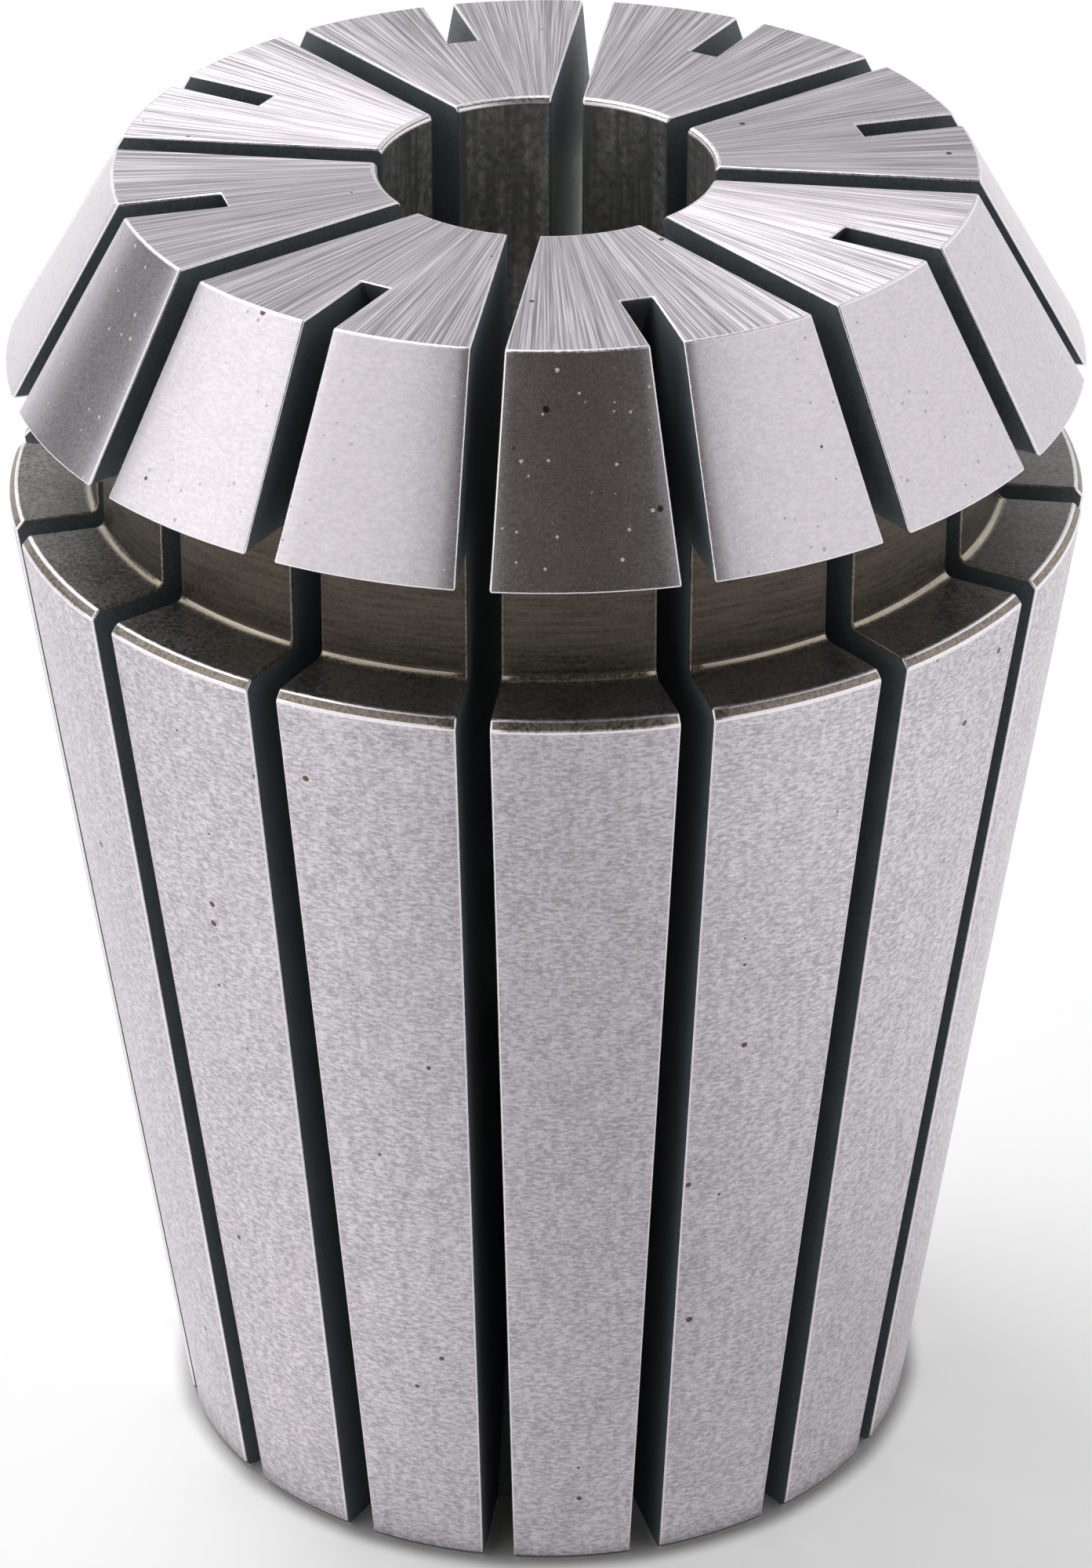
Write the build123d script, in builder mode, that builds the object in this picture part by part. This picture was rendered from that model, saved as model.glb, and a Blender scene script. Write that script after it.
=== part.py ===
from build123d import *
import math
import os

# An ER collet of size 25 for an 8 mm shank: one ring of hardened spring steel, turned, slit
# from both ends and ground. It stands on its small back face, with +Z along its axis towards
# the nose.

# ---- Driving dimensions, in millimetres and degrees ----

overall_length = 34.0

# Nose: the cone that the clamping nut presses on
nose_diameter = 26.0  # at the sharp rim under the nose
nose_height = 4.7
nose_half_angle = 30.0

# Groove under the nose: the nut's ring snaps in here and pulls the collet out
groove_width = 3.25
neck_diameter = 22.1
neck_fillet = 0.22

# Taper that seats in the tool holder
shoulder_overhang = 0.1  # past the nose's rim, where taper and shoulder would meet unchamfered
shoulder_chamfer = 0.22
taper_half_angle = 8.0
back_chamfer = 0.15

# Bore that grips the tool's shank
bore_diameter = 8.0
bore_chamfer = 0.1

# Slots: as many are sawn from the front as from the back, in turn round the collet. Each stops
# short of the far end and leaves a web round the bore there.
slots_from_each_end = 8
first_slot_angle = -90.0  # of a slot sawn from the front
slot_width = 0.76
saw_radius = 25.0
front_web_diameter = 15.64  # on the front face
front_web_height = 8.0  # down the bore's wall
back_web_diameter = 13.8
back_web_height = 8.0
saw_overrun = 2.0  # past the metal

# ---- Sizes that follow ----

bore_radius = bore_diameter / 2
neck_radius = neck_diameter / 2
nose_radius = nose_diameter / 2
shoulder_radius = nose_radius + shoulder_overhang
nose_rim_z = overall_length - nose_height
shoulder_z = nose_rim_z - groove_width
face_radius = nose_radius - nose_height * math.tan(math.radians(nose_half_angle))
back_radius = shoulder_radius - shoulder_z * math.tan(math.radians(taper_half_angle))
slot_pitch = 180 / slots_from_each_end
saw_reach = max(nose_radius, shoulder_radius) + saw_overrun


def outline_sawn_section(web_z, inward, web_radius, web_height):
    """Outlines what a saw takes out of the section, on one side of the axis. It spares the web
    at the end web_z. Seen from there, the metal lies towards +Z for inward 1, -Z for -1."""
    near_z = web_z - inward * saw_overrun
    far_z = web_z + inward * (overall_length + saw_overrun)
    web_top = (bore_radius, web_z + inward * web_height)
    web_rim = (web_radius, web_z)
    RadiusArc(web_top, web_rim, -inward * saw_radius)
    Polyline(
        web_rim,
        (web_radius, near_z),
        (saw_reach, near_z),
        (saw_reach, far_z),
        (0, far_z),
        (0, web_top[1]),
        web_top,
    )


with BuildPart() as slot_from_front:
    with BuildSketch(Plane.XZ):
        with BuildLine():
            outline_sawn_section(0, 1, back_web_diameter / 2, back_web_height)
        make_face()
    extrude(amount=slot_width / 2, both=True)

with BuildPart() as slot_from_back:
    with BuildSketch(Plane.XZ):
        with BuildLine():
            outline_sawn_section(overall_length, -1, front_web_diameter / 2, front_web_height)
        make_face()
    extrude(amount=slot_width / 2, both=True)


def rings_at(part, height):
    """The circular edges that lie at one height, the smallest first."""
    circles = part.edges().filter_by(GeomType.CIRCLE)
    return circles.filter_by_position(Axis.Z, height, height).sort_by(SortBy.RADIUS)


with BuildPart() as collet:
    # The blank, as it is turned
    with BuildSketch(Plane.XZ):
        with BuildLine():
            Polyline(
                (bore_radius, 0),
                (back_radius, 0),
                (shoulder_radius, shoulder_z),
                (neck_radius, shoulder_z),
                (neck_radius, nose_rim_z),
                (nose_radius, nose_rim_z),
                (face_radius, overall_length),
                (bore_radius, overall_length),
                close=True,
            )
        make_face()
    revolve(axis=Axis.Z)
    chamfer(rings_at(collet, 0)[-1], back_chamfer)
    chamfer([rings_at(collet, 0)[0], rings_at(collet, overall_length)[0]], bore_chamfer)
    chamfer(rings_at(collet, shoulder_z)[-1], shoulder_chamfer)
    fillet(rings_at(collet, shoulder_z)[0], neck_fillet)

    # The slots
    with PolarLocations(0, slots_from_each_end, start_angle=first_slot_angle):
        add(slot_from_front.part, mode=Mode.SUBTRACT)
    with PolarLocations(0, slots_from_each_end, start_angle=first_slot_angle + slot_pitch):
        add(slot_from_back.part, mode=Mode.SUBTRACT)

collet.part.label = "collet"

os.makedirs("parts", exist_ok=True)
export_step(collet.part, "parts/collet.step")
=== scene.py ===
import math

import bpy
from mathutils import Matrix, Vector


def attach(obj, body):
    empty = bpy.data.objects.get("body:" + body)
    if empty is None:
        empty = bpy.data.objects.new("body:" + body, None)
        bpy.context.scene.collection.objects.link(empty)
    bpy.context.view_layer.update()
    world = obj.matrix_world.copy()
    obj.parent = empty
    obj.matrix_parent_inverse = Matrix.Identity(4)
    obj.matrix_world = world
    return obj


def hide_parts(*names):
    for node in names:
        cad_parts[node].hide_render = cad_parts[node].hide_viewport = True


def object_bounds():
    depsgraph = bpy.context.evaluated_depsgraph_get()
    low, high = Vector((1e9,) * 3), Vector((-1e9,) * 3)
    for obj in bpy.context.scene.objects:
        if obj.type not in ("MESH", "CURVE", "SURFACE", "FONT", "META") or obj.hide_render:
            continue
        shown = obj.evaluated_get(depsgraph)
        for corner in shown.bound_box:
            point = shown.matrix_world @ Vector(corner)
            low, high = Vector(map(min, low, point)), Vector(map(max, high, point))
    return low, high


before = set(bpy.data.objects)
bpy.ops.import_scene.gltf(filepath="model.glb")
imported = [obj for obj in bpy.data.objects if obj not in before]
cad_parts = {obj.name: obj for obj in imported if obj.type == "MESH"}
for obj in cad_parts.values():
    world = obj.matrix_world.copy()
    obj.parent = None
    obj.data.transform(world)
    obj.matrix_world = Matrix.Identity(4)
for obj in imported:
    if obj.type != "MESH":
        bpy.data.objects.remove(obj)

bl_info = {
    "name": "ER Collet",
    "version": (1, 0, 0),
    "blender": (4, 5, 0),
    "location": "View3D > Sidebar > Collet",
    "description": "Models a ground steel ER collet and the pale studio that it stands in",
    "category": "Object",
}

CAD_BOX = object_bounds()
MM = 0.001

# Where the stage's cards and lamps point
MIDDLE = Vector((0, 0, (CAD_BOX[0][2] + CAD_BOX[1][2]) / 2))

STEPS_PER_PITCH = 9  # flat steps round the collet, from one slot to the next
FILLET_STEPS = 4
SAW_STEPS = 12  # where a saw runs out into a web
SAW_OVERRUN = 1 * MM  # how far a saw's solid goes past the metal
DOUBLE = 0.001 * MM  # points nearer than this are one point
CUT_DOUBLE = 0.0005 * MM  # the same, once the slots are cut
SURFACE_GAP = 0.01 * MM  # a face's middle lies nearer than this to the surface it belongs to
FLAT_ANGLE = math.radians(0.2)  # faces that turn less than this become one
SHARP_ANGLE = math.radians(25)  # edges that turn more than this are rubbed down

# Finishes, in the order of the collet's material slots
FINISHES = (
    "radially ground face",
    "ground nose cone",
    "ground taper",
    "turned neck",
    "turned shoulder",
    "turned chamfer",
    "turned fillet",
    "sawn slot",
    "reamed bore",
    "broken edge",
)


# ---------------------------------------------------------------------------------------------
# Settings
# ---------------------------------------------------------------------------------------------


def length(name, default_mm, about):
    """A length property whose default is given in millimetres."""
    return bpy.props.FloatProperty(
        name=name, description=about, default=default_mm * MM, min=0, precision=5, unit="LENGTH"
    )


def angle(name, degrees, about):
    """An angle property whose default is given in degrees."""
    return bpy.props.FloatProperty(
        name=name, description=about, default=math.radians(degrees), subtype="ANGLE"
    )


def colour(name, rgb, about):
    """A colour property in linear light."""
    return bpy.props.FloatVectorProperty(
        name=name, description=about, default=rgb, size=3, min=0, max=1, subtype="COLOR"
    )


def number(name, default, about, unit="NONE"):
    """A number property. The unit is one of Blender's own names for units."""
    return bpy.props.FloatProperty(name=name, description=about, default=default, unit=unit)


class ColletSizes(bpy.types.PropertyGroup):
    """Sizes of the collet, as it is turned, sawn and ground."""

    overall_length: length(
        "Overall length",
        (CAD_BOX[1][2] - CAD_BOX[0][2]) / MM,
        "From the back face to the front face",
    )
    nose_diameter: length("Nose diameter", 26.0, "Across the sharp rim under the nose")
    nose_height: length("Nose height", 4.7, "From the rim to the front face")
    nose_half_angle: angle("Nose half angle", 30.0, "Slope of the nose cone")
    groove_width: length("Groove width", 3.25, "From the shoulder to the nose's rim")
    neck_diameter: length("Neck diameter", 22.1, "At the bottom of the groove")
    neck_fillet: length("Neck fillet", 0.22, "Radius at the neck's foot")
    shoulder_overhang: length("Shoulder overhang", 0.1, "How far the taper passes the rim")
    shoulder_chamfer: length("Shoulder chamfer", 0.22, "At the taper's large end")
    taper_half_angle: angle("Taper half angle", 8.0, "Slope of the long taper")
    back_chamfer: length("Back chamfer", 0.15, "At the taper's small end")
    bore_diameter: length("Bore diameter", 8.0, "Size of the shank that is gripped")
    bore_chamfer: length("Bore chamfer", 0.1, "At both ends of the bore")
    slot_width: length("Slot width", 0.76, "Thickness of the slitting saw")
    saw_radius: length("Saw radius", 25.0, "Radius of the slitting saw")
    front_web_diameter: length("Front web diameter", 15.64, "Uncut metal on the front face")
    back_web_diameter: length("Back web diameter", 13.8, "Uncut metal on the back face")
    web_height: length("Web height", 8.0, "Uncut metal along the bore's wall")
    slots_from_each_end: bpy.props.IntProperty(
        name="Slots from each end", description="Slots sawn from the front or the back", default=8
    )
    first_slot_angle: angle("First slot angle", -90.0, "Direction of a slot sawn from the front")
    edge_break: length("Edge break", 0.055, "How far the sharp edges are rubbed down")


class ColletFinish(bpy.types.PropertyGroup):
    """Colours of the collet's surfaces."""

    ground: colour("Ground steel", (0.65, 0.61, 0.65), "Nose, taper and faces")
    # The neck's dark brown is heat-treat oxide darkened further by painted shade from under the
    # nose, and the shoulder's dark grey also holds painted shade from under the nose
    turned: colour("Turned steel", (0.10, 0.085, 0.068), "Neck of the groove")
    shoulder: colour("Shoulder", (0.27, 0.265, 0.255), "Flat sides of the groove")
    chamfer: colour("Chamfers", (0.28, 0.245, 0.21), "Turned chamfers")
    fillet: colour("Fillet", (0.37, 0.33, 0.265), "Fillet at the neck's foot")
    sawn: colour("Sawn steel", (0.13, 0.155, 0.165), "Walls of the slots")
    bore: colour("Bore", (0.47, 0.465, 0.445), "Wall of the bore")
    edge: colour("Broken edge", (0.90, 0.87, 0.90), "Edges rubbed bright")
    speck: colour("Specks", (0.16, 0.10, 0.08), "Pits and spots")


class StudioSettings(bpy.types.PropertyGroup):
    """The pale floor, the lamps and the camera."""

    floor_colour: colour("Floor", (0.86, 0.86, 0.86), "Colour of the floor")
    floor_size: length("Floor size", 1600.0, "Side of the square floor")
    floor_gap: length("Floor gap", 0.01, "Between the collet's back face and the floor")
    floor_lift: number("Floor lift", 0.34, "Light added to the floor where it is seen")
    world_level: number("World level", 0.65, "Light that the studio sheds on everything")
    key_power: number("Key lamp", 1.3, "Power of the soft lamp behind", "POWER")
    side_power: number("Side lamp", 0.13, "Power of the soft lamp at the left", "POWER")
    camera_distance: length("Camera distance", 150.95, "From the camera to its target")
    camera_lens: number("Camera lens", 137.5, "Focal length in millimetres")
    camera_azimuth: angle("Camera azimuth", 7.28, "Anticlockwise from the -Y side")
    camera_elevation: angle("Camera elevation", 29.57, "Above the horizon")
    target_height: length("Target height", 15.76, "Of the point on the axis near the aim")
    aim_up: length("Aim up", 1.17, "How far above that point, in the picture, the camera aims")


# ---------------------------------------------------------------------------------------------
# Modelling
# ---------------------------------------------------------------------------------------------


def around(turn, radius, height, across=0.0):
    """The point at that turn round the axis, that radius and height, moved sideways by across."""
    outward = Vector((math.cos(turn), math.sin(turn), 0))
    sideways = Vector((-math.sin(turn), math.cos(turn), 0))
    return outward * radius + sideways * across + Vector((0, 0, height))


def make_active(piece):
    """Selects one object alone."""
    bpy.ops.object.select_all(action="DESELECT")
    piece.select_set(True)
    bpy.context.view_layer.objects.active = piece


def draw_outline(name, points):
    """A closed loop of edges through the points, drawn by extruding one vertex. Edit mode stays
    on with the loop selected."""
    bpy.ops.object.select_all(action="DESELECT")
    bpy.ops.mesh.primitive_plane_add(size=MM)
    outline = bpy.context.object
    outline.name = name
    outline.data.name = name
    bpy.ops.object.mode_set(mode="EDIT")
    bpy.ops.mesh.select_all(action="SELECT")
    bpy.ops.mesh.merge(type="CENTER")
    bpy.ops.transform.translate(value=points[0])
    for before, after in zip(points, points[1:] + points[:1]):
        bpy.ops.mesh.extrude_region_move(TRANSFORM_OT_translate={"value": after - before})
    bpy.ops.mesh.select_all(action="SELECT")
    bpy.ops.mesh.remove_doubles(threshold=DOUBLE)
    return outline


def arc(start, end, centre, steps):
    """Points on the round stretch between start and end, each as (radius, height)."""
    first = math.atan2(start[1] - centre[1], start[0] - centre[0])
    last = math.atan2(end[1] - centre[1], end[0] - centre[0])
    turn = (last - first + math.pi) % (2 * math.pi) - math.pi
    size = math.dist(start, centre)
    angles = [first + turn * i / steps for i in range(1, steps)]
    return [(centre[0] + size * math.cos(a), centre[1] + size * math.sin(a)) for a in angles]


def apply_modifier(piece, modifier):
    """Makes the modifier's result the piece's own mesh."""
    make_active(piece)
    bpy.ops.object.modifier_apply(modifier=modifier.name)


class ColletShape:
    """The collet's section and slots, worked out from its sizes. Each diameter is halved here, a
    name in _z is a height, and pitch is the turn from one slot to the next."""

    def __init__(self, sizes):
        self.sizes = sizes
        self.length = sizes.overall_length
        self.bore = sizes.bore_diameter / 2
        self.neck = sizes.neck_diameter / 2
        self.rim = sizes.nose_diameter / 2
        self.rim_z = self.length - sizes.nose_height
        self.face = self.rim - sizes.nose_height * math.tan(sizes.nose_half_angle)
        self.shoulder = self.rim + sizes.shoulder_overhang
        self.shoulder_z = self.rim_z - sizes.groove_width
        self.back = self.shoulder - self.shoulder_z * math.tan(sizes.taper_half_angle)
        self.pitch = math.pi / sizes.slots_from_each_end

    def section(self):
        """Corners of the half section, as (radius, height), from the bore's back end outwards."""
        sizes = self.sizes
        chamfer = sizes.shoulder_chamfer
        fillet = sizes.neck_fillet
        foot = (self.neck + fillet, self.shoulder_z)
        wall = (self.neck, self.shoulder_z + fillet)
        lean, rise = math.sin(sizes.taper_half_angle), math.cos(sizes.taper_half_angle)
        taper_top = (self.shoulder - chamfer * lean, self.shoulder_z - chamfer * rise)
        taper_end = (self.back + sizes.back_chamfer * lean, sizes.back_chamfer * rise)
        return [
            (self.bore, sizes.bore_chamfer),
            (self.bore + sizes.bore_chamfer, 0),
            (self.back - sizes.back_chamfer, 0),
            taper_end,
            taper_top,
            (self.shoulder - chamfer, self.shoulder_z),
            foot,
            *arc(foot, wall, (foot[0], wall[1]), FILLET_STEPS),
            wall,
            (self.neck, self.rim_z),
            (self.rim, self.rim_z),
            (self.face, self.length),
            (self.bore + sizes.bore_chamfer, self.length),
            (self.bore, self.length - sizes.bore_chamfer),
        ]

    def sawn_section(self, web_z, inward, web):
        """Corners of what a saw takes out of the half section. It spares the web at the end web_z,
        out to the radius web. Inward is 1 or -1, the way from there into the metal."""
        inside = self.bore / 2
        reach = self.shoulder + SAW_OVERRUN
        near_z = web_z - inward * SAW_OVERRUN
        far_z = web_z + inward * (self.length + SAW_OVERRUN)
        top = (self.bore, web_z + inward * self.sizes.web_height)
        foot = (web, web_z)
        # The blade's middle lies out from the chord between the web's top and its foot
        chord = Vector(foot) - Vector(top)
        out = Vector((abs(chord.y), inward * chord.x)).normalized()
        depth = math.sqrt(self.sizes.saw_radius**2 - (chord.length / 2) ** 2)
        centre = Vector(top) + chord / 2 + out * depth
        return [
            (inside, top[1]),
            top,
            *arc(top, foot, centre, SAW_STEPS),
            foot,
            (web, near_z),
            (reach, near_z),
            (reach, far_z),
            (inside, far_z),
        ]


def turn_blank(shape):
    """The collet before its slots: the half section spun round the axis. Each face of the spin
    ends half a step to the side of a slot's middle, clear of the slot's walls."""
    step = shape.pitch / STEPS_PER_PITCH
    start = shape.sizes.first_slot_angle + step / 2
    blank = draw_outline("collet_finished", [around(start, r, z) for r, z in shape.section()])
    steps = 2 * shape.sizes.slots_from_each_end * STEPS_PER_PITCH
    bpy.ops.mesh.spin(steps=steps, angle=2 * math.pi, center=(0, 0, 0), axis=(0, 0, 1))
    bpy.ops.mesh.select_all(action="SELECT")
    bpy.ops.mesh.remove_doubles(threshold=DOUBLE)
    bpy.ops.mesh.normals_make_consistent(inside=False)
    bpy.ops.object.mode_set(mode="OBJECT")
    return blank


def make_saw(shape, name, turn, web_z, inward, web):
    """A thin solid that takes out one slot and leaves its walls with a sawn finish."""
    width = shape.sizes.slot_width
    section = shape.sawn_section(web_z, inward, web)
    saw = draw_outline(name, [around(turn, r, z, -width / 2) for r, z in section])
    bpy.ops.mesh.edge_face_add()
    sideways = around(turn, 0, 0, width)
    bpy.ops.mesh.extrude_region_move(TRANSFORM_OT_translate={"value": sideways})
    bpy.ops.mesh.select_all(action="SELECT")
    bpy.ops.mesh.normals_make_consistent(inside=False)
    bpy.ops.object.mode_set(mode="OBJECT")
    saw.data.materials.append(bpy.data.materials["sawn slot"])
    return saw


def copy_round(first, count):
    """Copies of an object at equal turns round the axis, each with its own mesh."""
    copies = [first]
    for i in range(1, count):
        copy = first.copy()
        copy.data = first.data.copy()
        copy.data.transform(Matrix.Rotation(2 * math.pi * i / count, 4, "Z"))
        bpy.context.collection.objects.link(copy)
        copies.append(copy)
    return copies


def saw_slots(blank, shape):
    """Cuts the slots, half of them from the front and half from the back."""
    sizes = shape.sizes
    first, second = sizes.first_slot_angle, sizes.first_slot_angle + shape.pitch
    back_web, front_web = sizes.back_web_diameter / 2, sizes.front_web_diameter / 2
    count = sizes.slots_from_each_end
    front = make_saw(shape, "front_saw", first, 0, 1, back_web)
    back = make_saw(shape, "back_saw", second, shape.length, -1, front_web)
    saws = copy_round(front, count) + copy_round(back, count)
    make_active(front)
    for saw in saws:
        saw.select_set(True)
    bpy.ops.object.join()
    cut = blank.modifiers.new("slots", "BOOLEAN")
    cut.operation = "DIFFERENCE"
    cut.solver = "EXACT"
    cut.material_mode = "TRANSFER"
    cut.object = front
    apply_modifier(blank, cut)
    bpy.data.objects.remove(front)
    make_active(blank)
    bpy.ops.object.mode_set(mode="EDIT")
    bpy.ops.mesh.select_all(action="SELECT")
    bpy.ops.mesh.remove_doubles(threshold=CUT_DOUBLE)
    bpy.ops.mesh.dissolve_limited(angle_limit=FLAT_ANGLE, delimit={"MATERIAL"})
    bpy.ops.object.mode_set(mode="OBJECT")


def finish_of(shape, centre):
    """The finish of the blank's face with that centre."""
    radius = math.hypot(centre.x, centre.y)
    if radius < shape.bore + SURFACE_GAP:
        return "reamed bore"
    if centre.z > shape.length - SURFACE_GAP or centre.z < SURFACE_GAP:
        return "radially ground face"
    if radius < shape.bore + shape.sizes.bore_chamfer:
        return "turned chamfer"
    if centre.z > shape.rim_z + SURFACE_GAP:
        return "ground nose cone"
    if centre.z > shape.rim_z - SURFACE_GAP:
        return "turned shoulder"
    if centre.z > shape.shoulder_z + SURFACE_GAP:
        return "turned neck" if radius < shape.neck + SURFACE_GAP else "turned fillet"
    if centre.z > shape.shoulder_z - SURFACE_GAP:
        return "turned shoulder"
    if centre.z > shape.shoulder_z - shape.sizes.shoulder_chamfer:
        return "turned chamfer"
    return "ground taper" if centre.z > shape.sizes.back_chamfer else "turned chamfer"


def edge_finish_of(shape, centre):
    """The finish of a rubbed edge with that centre. Only edges of the ground surfaces are bright:
    those in the groove are dull, and those inside the collet are dark as the slots are."""
    sizes = shape.sizes
    radius = math.hypot(centre.x, centre.y)
    in_groove = shape.shoulder_z - sizes.edge_break < centre.z < shape.rim_z
    if in_groove and radius < shape.shoulder - 2 * sizes.shoulder_chamfer:
        return "turned chamfer"
    inside = sizes.bore_chamfer < centre.z < shape.length - 2 * sizes.bore_chamfer
    if inside and radius < shape.neck - sizes.edge_break:
        return "sawn slot"
    return "broken edge"


def give_finishes(piece, shape):
    """Gives the piece its material slots and each face its finish."""
    for name in FINISHES:
        piece.data.materials.append(bpy.data.materials[name])
    for face in piece.data.polygons:
        face.material_index = FINISHES.index(finish_of(shape, face.center))


def break_edges(piece, shape):
    """Rubs down every sharp edge, gives the new faces their finish and smooths the shading."""
    rub = piece.modifiers.new("edge break", "BEVEL")
    rub.width = shape.sizes.edge_break
    rub.segments = 2
    rub.limit_method = "ANGLE"
    rub.angle_limit = SHARP_ANGLE
    rub.material = FINISHES.index("broken edge")
    rub.use_clamp_overlap = False
    apply_modifier(piece, rub)
    for face in piece.data.polygons:
        if FINISHES[face.material_index] == "broken edge":
            face.material_index = FINISHES.index(edge_finish_of(shape, face.center))
    make_active(piece)
    bpy.ops.object.shade_smooth()
    flow = piece.modifiers.new("smooth flow", "WEIGHTED_NORMAL")
    flow.mode = "FACE_AREA"
    flow.weight = 80
    flow.keep_sharp = True
    apply_modifier(piece, flow)


# ---------------------------------------------------------------------------------------------
# Materials
# ---------------------------------------------------------------------------------------------


# How tool lines are drawn out: they run long in a direction whose number is small
LENGTHWISE = (1, 1, 0.05)
ROUNDWISE = (0.06, 0.06, 1)
DASHES = (0.45, 0.45, 1)

DUST = (0.8, 0.78, 0.76)


def new_group(name, inputs, outputs):
    """An empty shader group. Inputs are (name, kind, default), outputs (name, kind)."""
    group = bpy.data.node_groups.new(name, "ShaderNodeTree")
    for label, kind, default in inputs:
        socket = group.interface.new_socket(label, in_out="INPUT", socket_type=kind)
        if default is not None:
            socket.default_value = default
    for label, kind in outputs:
        group.interface.new_socket(label, in_out="OUTPUT", socket_type=kind)
    start = group.nodes.new("NodeGroupInput")
    end = group.nodes.new("NodeGroupOutput")
    return group, start, end


def wire(tree, source, target):
    """Links an output socket to an input socket."""
    tree.links.new(source, target)


def feed(tree, value, target):
    """Gives an input socket its value, which is a number or an output socket."""
    if isinstance(value, bpy.types.NodeSocket):
        wire(tree, value, target)
    else:
        target.default_value = value


def calc(tree, operation, *values):
    """A Math node's result. A value is a number or a socket."""
    node = tree.nodes.new("ShaderNodeMath")
    node.operation = operation
    for socket, value in zip(node.inputs, values):
        feed(tree, value, socket)
    return node.outputs[0]


def weighted(tree, *parts):
    """The sum of several values, each a socket with its share."""
    total = 0.0
    for value, share in parts:
        total = calc(tree, "MULTIPLY_ADD", value, share, total)
    return total


def noise(tree, vector, scale, roughness=0.5, detail=2.0):
    """A Noise Texture's value. The scale is a number or a socket."""
    node = tree.nodes.new("ShaderNodeTexNoise")
    node.inputs["Detail"].default_value = detail
    node.inputs["Roughness"].default_value = roughness
    wire(tree, vector, node.inputs["Vector"])
    feed(tree, scale, node.inputs["Scale"])
    return node.outputs["Fac"]


def remap(tree, value, low, high, to_low=0.0, to_high=1.0):
    """A smooth Map Range node's result."""
    node = tree.nodes.new("ShaderNodeMapRange")
    node.interpolation_type = "SMOOTHSTEP"
    node.inputs["From Min"].default_value = low
    node.inputs["From Max"].default_value = high
    node.inputs["To Min"].default_value = to_low
    node.inputs["To Max"].default_value = to_high
    wire(tree, value, node.inputs["Value"])
    return node.outputs["Result"]


def build_radial_streaks():
    """Grinding lines that fan out from the axis, with some deeper scratches among them."""
    group, start, end = new_group(
        "Radial Streaks",
        [("Vector", "NodeSocketVector", None), ("Streaks", "NodeSocketFloat", 100.0)],
        [("Height", "NodeSocketFloat"), ("Tone", "NodeSocketFloat")],
    )
    split = group.nodes.new("ShaderNodeSeparateXYZ")
    wire(group, start.outputs["Vector"], split.inputs[0])
    x, y = split.outputs["X"], split.outputs["Y"]
    square = calc(group, "ADD", calc(group, "MULTIPLY", x, x), calc(group, "MULTIPLY", y, y))
    radius = calc(group, "SQRT", square)
    # The unit vector away from the axis has no seam, unlike an angle. The radius changes slowly
    # beside it, so the noise is drawn out into lines.
    fan = group.nodes.new("ShaderNodeCombineXYZ")
    for side, target in ((x, "X"), (y, "Y")):
        across = calc(group, "DIVIDE", side, radius)
        across = calc(group, "MULTIPLY", across, start.outputs["Streaks"])
        wire(group, across, fan.inputs[target])
    wire(group, calc(group, "MULTIPLY", radius, 170.0), fan.inputs["Z"])
    lines = fan.outputs["Vector"]
    coarse = noise(group, lines, 0.9, roughness=0.6)
    fine = noise(group, lines, 2.3, roughness=0.7)
    both = weighted(group, (coarse, 0.5), (fine, 0.5))
    # A scratch is deeper and darker than the lines beside it
    scratches = remap(group, noise(group, lines, 1.7, detail=0.0), 0.62, 0.72)
    wire(group, calc(group, "MULTIPLY_ADD", scratches, -0.3, both), end.inputs["Height"])
    shade = calc(group, "MULTIPLY_ADD", scratches, -0.55, 1.0)
    tone = calc(group, "MULTIPLY", remap(group, both, 0.36, 0.64), shade)
    wire(group, tone, end.inputs["Tone"])
    return group


def build_grain():
    """A fine even grain, with a broader one faintly under it."""
    group, start, end = new_group(
        "Ground Grain",
        [("Vector", "NodeSocketVector", None), ("Scale", "NodeSocketFloat", 9000.0)],
        [("Height", "NodeSocketFloat"), ("Tone", "NodeSocketFloat")],
    )
    place, scale = start.outputs["Vector"], start.outputs["Scale"]
    fine = noise(group, place, scale, roughness=0.6)
    broad = noise(group, place, calc(group, "MULTIPLY", scale, 0.08))
    both = weighted(group, (fine, 0.8), (broad, 0.2))
    wire(group, both, end.inputs["Height"])
    wire(group, remap(group, both, 0.3, 0.7), end.inputs["Tone"])
    return group


def build_lines():
    """Faint lines, drawn out along the axis or round it, as Squeeze says."""
    group, start, end = new_group(
        "Tool Lines",
        [
            ("Vector", "NodeSocketVector", None),
            ("Scale", "NodeSocketFloat", 6000.0),
            ("Squeeze", "NodeSocketVector", LENGTHWISE),
        ],
        [("Tone", "NodeSocketFloat")],
    )
    squeeze = group.nodes.new("ShaderNodeVectorMath")
    squeeze.operation = "MULTIPLY"
    wire(group, start.outputs["Vector"], squeeze.inputs[0])
    wire(group, start.outputs["Squeeze"], squeeze.inputs[1])
    lines = noise(group, squeeze.outputs["Vector"], start.outputs["Scale"], roughness=0.6)
    wire(group, remap(group, lines, 0.3, 0.7), end.inputs["Tone"])
    return group


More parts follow.
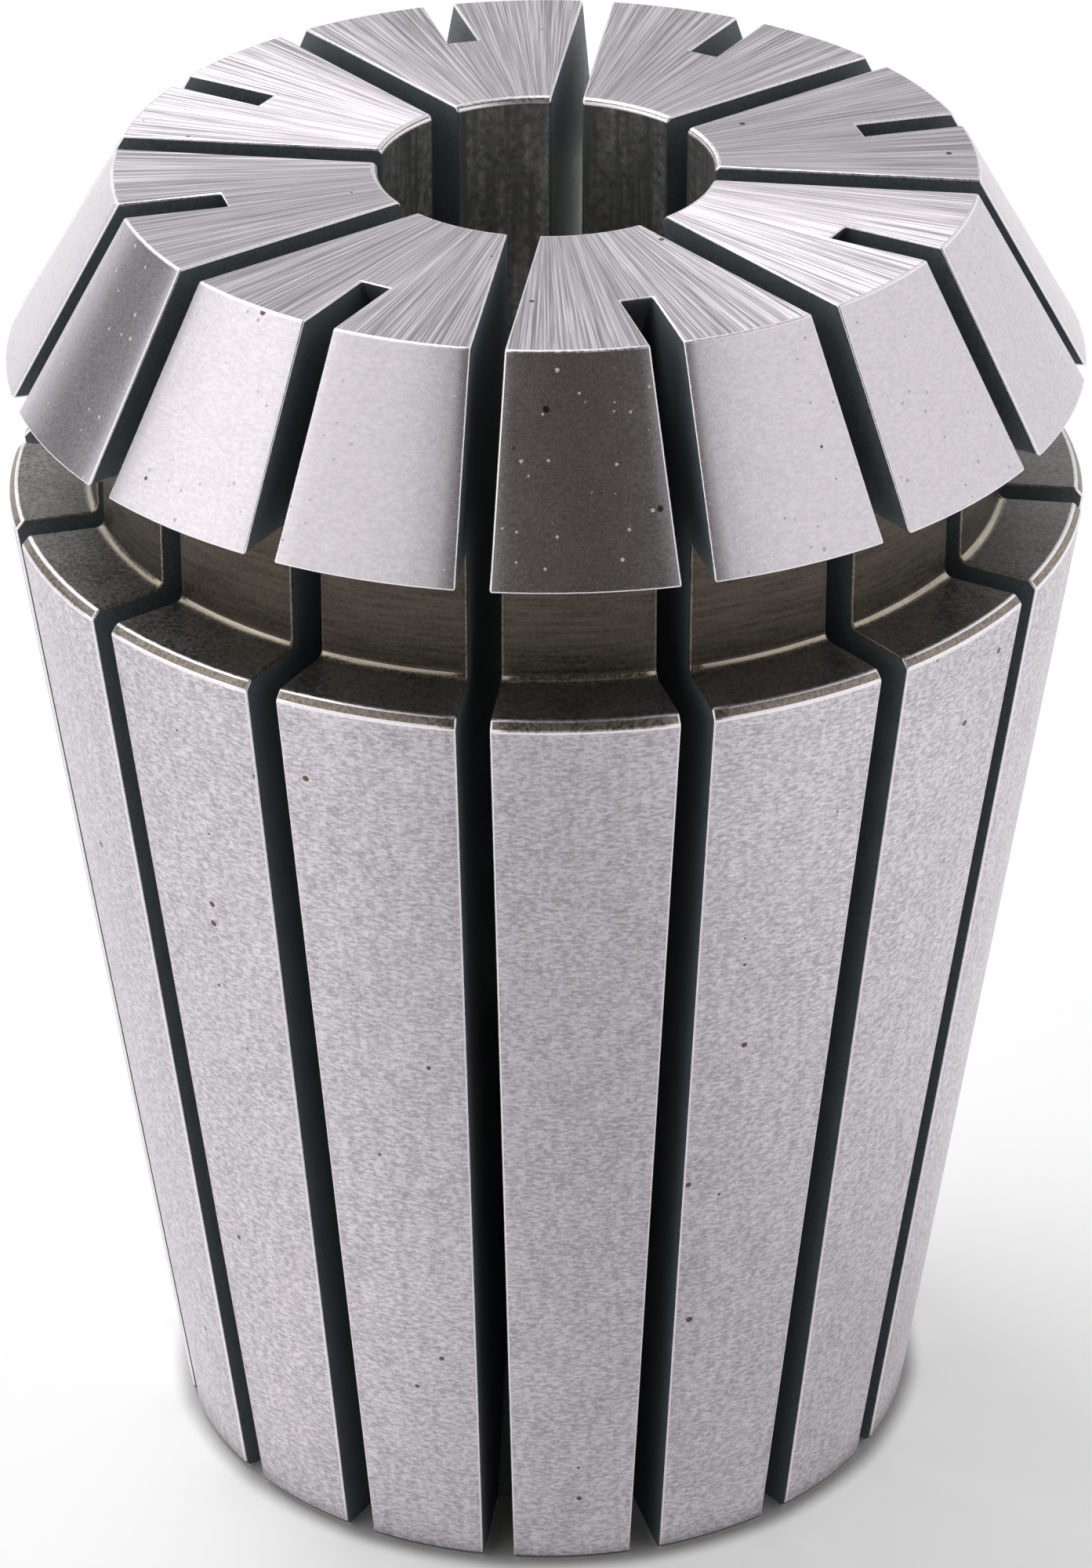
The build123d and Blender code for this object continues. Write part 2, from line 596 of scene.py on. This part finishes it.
def build_specks():
    """Scattered round spots. Share is the part of the pattern's cells that hold one."""
    group, start, end = new_group(
        "Specks",
        [
            ("Vector", "NodeSocketVector", None),
            ("Scale", "NodeSocketFloat", 1500.0),
            ("Share", "NodeSocketFloat", 0.13),
        ],
        [("Mask", "NodeSocketFloat")],
    )
    cells = group.nodes.new("ShaderNodeTexVoronoi")
    cells.feature = "F1"
    wire(group, start.outputs["Vector"], cells.inputs["Vector"])
    wire(group, start.outputs["Scale"], cells.inputs["Scale"])
    # Each cell's own colour says whether it holds a spot and how large that is
    draw = group.nodes.new("ShaderNodeSeparateXYZ")
    wire(group, cells.outputs["Color"], draw.inputs[0])
    chosen = calc(group, "LESS_THAN", draw.outputs["X"], start.outputs["Share"])
    size = calc(group, "MULTIPLY_ADD", draw.outputs["Y"], 0.11, 0.05)
    inside = calc(group, "SUBTRACT", size, cells.outputs["Distance"])
    spot = remap(group, inside, 0.0, 0.03)
    wire(group, calc(group, "MULTIPLY", chosen, spot), end.inputs["Mask"])
    return group


def mixed(tree, factor, first, second):
    """A colour mixed from two. A colour is three numbers or a socket."""
    node = tree.nodes.new("ShaderNodeMix")
    node.data_type = "RGBA"
    wire(tree, factor, node.inputs["Factor"])
    for name, value in (("A", first), ("B", second)):
        target = next(i for i in node.inputs if i.name == name and i.type == "RGBA")
        feed(tree, value if isinstance(value, bpy.types.NodeSocket) else (*value, 1), target)
    return next(o for o in node.outputs if o.type == "RGBA")


def scaled(rgb, factor):
    """The colour made that much brighter or darker, and no brighter than white."""
    factor = min(factor, 1 / max(rgb))
    return tuple(c * factor for c in rgb)


def new_material(name, metallic, roughness):
    """A material with its tree, Principled node and Object coordinates."""
    material = bpy.data.materials.new(name)
    material.use_nodes = True
    tree = material.node_tree
    shader = tree.nodes["Principled BSDF"]
    shader.inputs["Metallic"].default_value = metallic
    shader.inputs["Roughness"].default_value = roughness
    coordinates = tree.nodes.new("ShaderNodeTexCoord").outputs["Object"]
    return tree, shader, coordinates


def put_group(tree, group, coordinates, **values):
    """The group in a material's tree, with this material's own values."""
    node = tree.nodes.new("ShaderNodeGroup")
    node.node_tree = group
    wire(tree, coordinates, node.inputs["Vector"])
    for name, value in values.items():
        node.inputs[name].default_value = value
    return node


def put_bump(tree, shader, height, strength, distance):
    """Gives the shader the relief of that height."""
    bump = tree.nodes.new("ShaderNodeBump")
    bump.inputs["Strength"].default_value = strength
    bump.inputs["Distance"].default_value = distance
    wire(tree, height, bump.inputs["Height"])
    wire(tree, bump.outputs["Normal"], shader.inputs["Normal"])


def put_roughness(tree, shader, tone, at_dull, at_bright):
    """Makes the shader's roughness change with the tone of the pattern."""
    wire(tree, remap(tree, tone, 0, 1, at_dull, at_bright), shader.inputs["Roughness"])


def build_face_finish(groups, finish):
    """A face ground in rays, which glints along them."""
    tree, shader, place = new_material("radially ground face", 1.0, 0.42)
    streaks = put_group(tree, groups["streaks"], place, Streaks=160.0)
    specks = put_group(tree, groups["specks"], place, Scale=1600.0, Share=0.13)
    dull, bright = scaled(finish.ground, 0.54), scaled(finish.ground, 1.6)
    tone = mixed(tree, streaks.outputs["Tone"], dull, bright)
    tone = mixed(tree, specks.outputs["Mask"], tone, finish.speck)
    wire(tree, tone, shader.inputs["Base Color"])
    put_roughness(tree, shader, streaks.outputs["Tone"], 0.36, 0.48)
    shader.inputs["Anisotropic"].default_value = 0.8
    tangent = tree.nodes.new("ShaderNodeTangent")
    tangent.direction_type = "RADIAL"
    tangent.axis = "Z"
    wire(tree, tangent.outputs["Tangent"], shader.inputs["Tangent"])
    put_bump(tree, shader, streaks.outputs["Height"], 0.3, 0.02 * MM)


def build_ground_finish(groups, finish, name, rgb, roughness, contrast, dust):
    """A surface ground round the axis. Contrast is how far its tone strays from rgb, and dust how
    strong its pale specks are."""
    tree, shader, place = new_material(name, 1.0, roughness)
    grain = put_group(tree, groups["grain"], place, Scale=15000.0)
    lines = put_group(tree, groups["lines"], place, Scale=5000.0)
    dashes = put_group(tree, groups["lines"], place, Scale=13000.0, Squeeze=DASHES)
    pits = put_group(tree, groups["specks"], place, Scale=1500.0, Share=0.13)
    pale = put_group(tree, groups["specks"], place, Scale=2800.0, Share=0.9)
    dull, bright = scaled(rgb, 1 - contrast), scaled(rgb, 1 + contrast)
    mottle = weighted(
        tree,
        (grain.outputs["Tone"], 0.25),
        (lines.outputs["Tone"], 0.15),
        (dashes.outputs["Tone"], 0.6),
    )
    tone = mixed(tree, mottle, dull, bright)
    tone = mixed(tree, pits.outputs["Mask"], tone, finish.speck)
    dusty = calc(tree, "MULTIPLY", pale.outputs["Mask"], dust)
    tone = mixed(tree, dusty, tone, DUST)
    wire(tree, tone, shader.inputs["Base Color"])
    wire(tree, calc(tree, "SUBTRACT", 1.0, dusty), shader.inputs["Metallic"])
    put_roughness(tree, shader, grain.outputs["Tone"], roughness + 0.03, roughness - 0.02)
    put_bump(tree, shader, grain.outputs["Height"], 0.05, 0.01 * MM)


def build_cut_finish(groups, name, rgb, metallic, roughness, contrast, turned):
    """A turned, sawn or rubbed surface with an even grain. Contrast is how far its tone strays
    from rgb, and turned the share of tool lines in it."""
    tree, shader, place = new_material(name, metallic, roughness)
    grain = put_group(tree, groups["grain"], place, Scale=12000.0)
    mottle = grain.outputs["Tone"]
    if turned:
        lines = put_group(tree, groups["lines"], place, Scale=11000.0, Squeeze=ROUNDWISE)
        mottle = weighted(tree, (mottle, 1 - turned), (lines.outputs["Tone"], turned))
    tone = mixed(tree, mottle, scaled(rgb, 1 - contrast), scaled(rgb, 1 + contrast))
    wire(tree, tone, shader.inputs["Base Color"])
    put_roughness(tree, shader, grain.outputs["Tone"], roughness - 0.08, roughness + 0.08)
    put_bump(tree, shader, grain.outputs["Height"], 0.08, 0.02 * MM)


def build_bore_finish(groups, finish):
    """A reamed wall with faint lines along it."""
    tree, shader, place = new_material("reamed bore", 0.7, 0.3)
    lines = put_group(tree, groups["lines"], place, Scale=4000.0)
    grain = put_group(tree, groups["grain"], place, Scale=5000.0)
    mottle = calc(tree, "MULTIPLY", lines.outputs["Tone"], grain.outputs["Tone"])
    tone = mixed(tree, mottle, scaled(finish.bore, 0.6), scaled(finish.bore, 1.8))
    wire(tree, tone, shader.inputs["Base Color"])
    put_bump(tree, shader, lines.outputs["Tone"], 0.2, 0.01 * MM)


def build_finishes(finish):
    """Makes the material of every finish, under the names in FINISHES."""
    groups = {
        "streaks": build_radial_streaks(),
        "grain": build_grain(),
        "lines": build_lines(),
        "specks": build_specks(),
    }
    build_face_finish(groups, finish)
    for name, rgb, roughness, contrast, dust in (
        ("ground nose cone", finish.ground, 0.26, 0.1, 1.0),
        ("ground taper", scaled(finish.ground, 0.93), 0.34, 0.42, 0.3),
    ):
        build_ground_finish(groups, finish, name, rgb, roughness, contrast, dust)
    for name, rgb, metallic, roughness, contrast, turned in (
        # The neck and shoulder colours carry painted shade from under the nose, besides the
        # groove's oxide
        ("turned neck", finish.turned, 1.0, 0.5, 0.5, 0.4),
        ("turned shoulder", finish.shoulder, 0.9, 0.38, 0.4, 0.0),
        ("turned chamfer", finish.chamfer, 0.9, 0.38, 0.4, 0.0),
        ("turned fillet", finish.fillet, 1.0, 0.26, 0.3, 0.4),
        ("sawn slot", finish.sawn, 0.0, 0.52, 0.2, 0.0),
        ("broken edge", finish.edge, 1.0, 0.35, 0.1, 0.0),
    ):
        build_cut_finish(groups, name, rgb, metallic, roughness, contrast, turned)
    build_bore_finish(groups, finish)


# ---------------------------------------------------------------------------------------------
# Stage
# ---------------------------------------------------------------------------------------------


# Cards round the collet that the steel mirrors: azimuth and elevation of the card's middle, its
# distance in metres, its half width and half height as seen from the collet, and its colour.
# Azimuths run from +X towards +Y, and all angles here are in degrees.
STUDIO_CARDS = {
    "dark card": (-75, 45, 0.5, 26, 40, (0.094, 0.078, 0.063)),
    "grey card": (162, 3, 0.5, 12, 14, (0.2, 0.2, 0.2)),
    "back card": (92, 24, 0.7, 24, 16, (0.9, 0.9, 0.9)),
    "ceiling card": (30, 72, 0.8, 24, 24, (0.7, 0.7, 0.7)),
}

# Square soft lamps: azimuth, elevation and distance as above, and the side in metres
KEY_LAMP = (143, 62, 0.6, 0.3)
SIDE_LAMP = (200, 20, 0.5, 0.3)

# The painted shadows on the floor, in radii of the collet's back face: where the painted contact
# shadow ends beside the collet, and for the painted soft shadow in front, how far out its middle
# lies and where it starts and stops fading
PAINTED_CONTACT_SHADOW_EDGE = 1.06
PAINTED_SHADOW_DISTANCE = 4.2
PAINTED_SHADOW_FADE = (0.9, 3.7)

FRONT = math.radians(-90)  # the azimuth from which the camera's own is counted
SENSOR_WIDTH_MM = 36
NEAREST_SEEN = 5 * MM


def toward(azimuth, elevation):
    """The unit vector with that azimuth from +X and that elevation, both in radians."""
    level = math.cos(elevation)
    return Vector((math.cos(azimuth) * level, math.sin(azimuth) * level, math.sin(elevation)))


def length_of(tree, vector):
    """The length of a vector socket."""
    node = tree.nodes.new("ShaderNodeVectorMath")
    node.operation = "LENGTH"
    wire(tree, vector, node.inputs[0])
    return node.outputs["Value"]


def rays_that_see(tree):
    """1 for rays from the camera and for mirrored or refracted ones, 0 for those that only
    light."""
    path = tree.nodes.new("ShaderNodeLightPath")
    seen = calc(tree, "MAXIMUM", path.outputs["Is Camera Ray"], path.outputs["Is Glossy Ray"])
    return calc(tree, "MAXIMUM", seen, path.outputs["Is Transmission Ray"])


def build_world(scene, settings):
    """A pale studio, white where the camera or the steel sees it."""
    world = bpy.data.worlds.new("studio")
    scene.world = world
    world.use_nodes = True
    tree = world.node_tree
    background = tree.nodes["Background"]
    background.inputs["Color"].default_value = (1, 1, 1, 1)
    level = calc(tree, "MAXIMUM", rays_that_see(tree), settings.world_level)
    wire(tree, level, background.inputs["Strength"])


def matt_material(name, rgb, roughness):
    """A material without gloss, and its Principled node."""
    material = bpy.data.materials.new(name)
    material.use_nodes = True
    shader = material.node_tree.nodes["Principled BSDF"]
    shader.inputs["Base Color"].default_value = (*rgb, 1)
    shader.inputs["Roughness"].default_value = roughness
    shader.inputs["Specular IOR Level"].default_value = 0
    return material, shader


def build_card(name, azimuth, elevation, distance, half_width, half_height, rgb):
    """A flat card that faces the collet."""
    out = toward(math.radians(azimuth), math.radians(elevation))
    half_sides = [distance * math.tan(math.radians(half)) for half in (half_width, half_height)]
    bpy.ops.object.select_all(action="DESELECT")
    bpy.ops.mesh.primitive_plane_add(size=2)
    card = bpy.context.object
    card.name = name.replace(" ", "_")
    reach = Matrix.Diagonal((*half_sides, 1, 1))
    turn = out.to_track_quat("Z", "Y").to_matrix().to_4x4()
    card.data.transform(Matrix.Translation(MIDDLE + out * distance) @ turn @ reach)
    material, _ = matt_material(name, rgb, 1.0)
    card.data.materials.append(material)


def floor_painted_shadows(tree, footprint, azimuth):
    """1 where the floor is lifted, and 0 in a painted contact shadow under the collet and in a
    painted soft round shadow towards the azimuth, which the steel also mirrors as a painted darker
    reflection.
    Footprint is the radius of the collet's back face."""
    place = tree.nodes.new("ShaderNodeTexCoord").outputs["Object"]
    # Painted contact shadow: no lift under the collet and just round its foot
    clear = remap(tree, length_of(tree, place), footprint, footprint * PAINTED_CONTACT_SHADOW_EDGE)
    # Painted soft shadow: the lift fades out in a round patch in front of the collet, which also
    # darkens the floor that the taper mirrors
    shift = tree.nodes.new("ShaderNodeVectorMath")
    shift.operation = "SUBTRACT"
    wire(tree, place, shift.inputs[0])
    shift.inputs[1].default_value = toward(azimuth, 0) * footprint * PAINTED_SHADOW_DISTANCE
    away = length_of(tree, shift.outputs["Vector"])
    fade = remap(tree, away, *(footprint * edge for edge in PAINTED_SHADOW_FADE))
    return calc(tree, "MULTIPLY", clear, fade)


def build_floor(settings, footprint):
    """A pale floor, lifted to white where the camera or the steel sees it, except in its painted
    shadows.
    """
    bpy.ops.object.select_all(action="DESELECT")
    under = (0, 0, -settings.floor_gap)
    bpy.ops.mesh.primitive_plane_add(size=settings.floor_size, location=under)
    floor = bpy.context.object
    floor.name = "floor"
    material, shader = matt_material("pale floor", settings.floor_colour, 0.9)
    tree = material.node_tree
    lift = calc(tree, "MULTIPLY", rays_that_see(tree), settings.floor_lift)
    # The painted shadows take the lift away under the collet and in front of it
    shade = floor_painted_shadows(tree, footprint, FRONT + settings.camera_azimuth)
    shader.inputs["Emission Color"].default_value = (1, 1, 1, 1)
    wire(tree, calc(tree, "MULTIPLY", lift, shade), shader.inputs["Emission Strength"])
    floor.data.materials.append(material)


def build_camera(scene, settings):
    """The camera, aimed from the front at a point near the middle of the collet."""
    azimuth = FRONT + settings.camera_azimuth
    back = toward(azimuth, settings.camera_elevation)
    up = toward(azimuth, settings.camera_elevation + math.pi / 2)
    aim = Vector((0, 0, settings.target_height)) + up * settings.aim_up
    bpy.ops.object.camera_add(location=aim + back * settings.camera_distance)
    camera = bpy.context.object
    camera.name = "camera"
    camera.rotation_euler = back.to_track_quat("Z", "Y").to_euler()
    camera.data.lens = settings.camera_lens
    camera.data.sensor_width = SENSOR_WIDTH_MM
    camera.data.clip_start = NEAREST_SEEN
    scene.camera = camera


def build_lamp(name, power, azimuth, elevation, distance, side):
    """A square soft lamp that points at the collet."""
    out = toward(math.radians(azimuth), math.radians(elevation))
    bpy.ops.object.light_add(type="AREA", location=MIDDLE + out * distance)
    lamp = bpy.context.object
    lamp.name = name
    lamp.rotation_euler = out.to_track_quat("Z", "Y").to_euler()
    lamp.data.size = side
    lamp.data.energy = power


# ---------------------------------------------------------------------------------------------
# Operators and panel
# ---------------------------------------------------------------------------------------------


class COLLET_OT_stage(bpy.types.Operator):
    """Build the camera, the surroundings, the floor, the cards and the lamps"""

    bl_idname = "collet.stage"
    bl_label = "Build stage"

    def execute(self, context):
        scene = context.scene
        settings = scene.collet_studio
        scene.view_settings.view_transform = "Standard"
        build_camera(scene, settings)
        build_world(scene, settings)
        build_floor(settings, ColletShape(scene.collet_sizes).back)
        for name, card in STUDIO_CARDS.items():
            build_card(name, *card)
        build_lamp("key_lamp", settings.key_power, *KEY_LAMP)
        build_lamp("side_lamp", settings.side_power, *SIDE_LAMP)
        return {"FINISHED"}


class COLLET_OT_collet(bpy.types.Operator):
    """Turn, saw and finish the collet"""

    bl_idname = "collet.collet"
    bl_label = "Make collet"

    def execute(self, context):
        shape = ColletShape(context.scene.collet_sizes)
        build_finishes(context.scene.collet_finish)
        collet = turn_blank(shape)
        give_finishes(collet, shape)
        saw_slots(collet, shape)
        break_edges(collet, shape)
        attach(collet, "root")
        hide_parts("collet")
        return {"FINISHED"}


class COLLET_PT_panel(bpy.types.Panel):
    """Lists what can be made, with its sizes, colours and settings"""

    bl_label = "Collet"
    bl_idname = "COLLET_PT_panel"
    bl_space_type = "VIEW_3D"
    bl_region_type = "UI"
    bl_category = "Collet"

    def draw(self, context):
        scene = context.scene
        for operator in (COLLET_OT_collet, COLLET_OT_stage):
            self.layout.operator(operator.bl_idname)
        for group in (scene.collet_sizes, scene.collet_finish, scene.collet_studio):
            box = self.layout.box()
            for name in group.__annotations__:
                box.prop(group, name)


CLASSES = (
    ColletSizes,
    ColletFinish,
    StudioSettings,
    COLLET_OT_collet,
    COLLET_OT_stage,
    COLLET_PT_panel,
)


def register():
    for cls in CLASSES:
        bpy.utils.register_class(cls)
    bpy.types.Scene.collet_sizes = bpy.props.PointerProperty(type=ColletSizes)
    bpy.types.Scene.collet_finish = bpy.props.PointerProperty(type=ColletFinish)
    bpy.types.Scene.collet_studio = bpy.props.PointerProperty(type=StudioSettings)


def unregister():
    del bpy.types.Scene.collet_studio
    del bpy.types.Scene.collet_finish
    del bpy.types.Scene.collet_sizes
    for cls in reversed(CLASSES):
        bpy.utils.unregister_class(cls)


def main():
    """Builds the stage and the collet."""
    register()
    bpy.ops.collet.stage()
    bpy.ops.collet.collet()


if __name__ == "__main__":
    main()
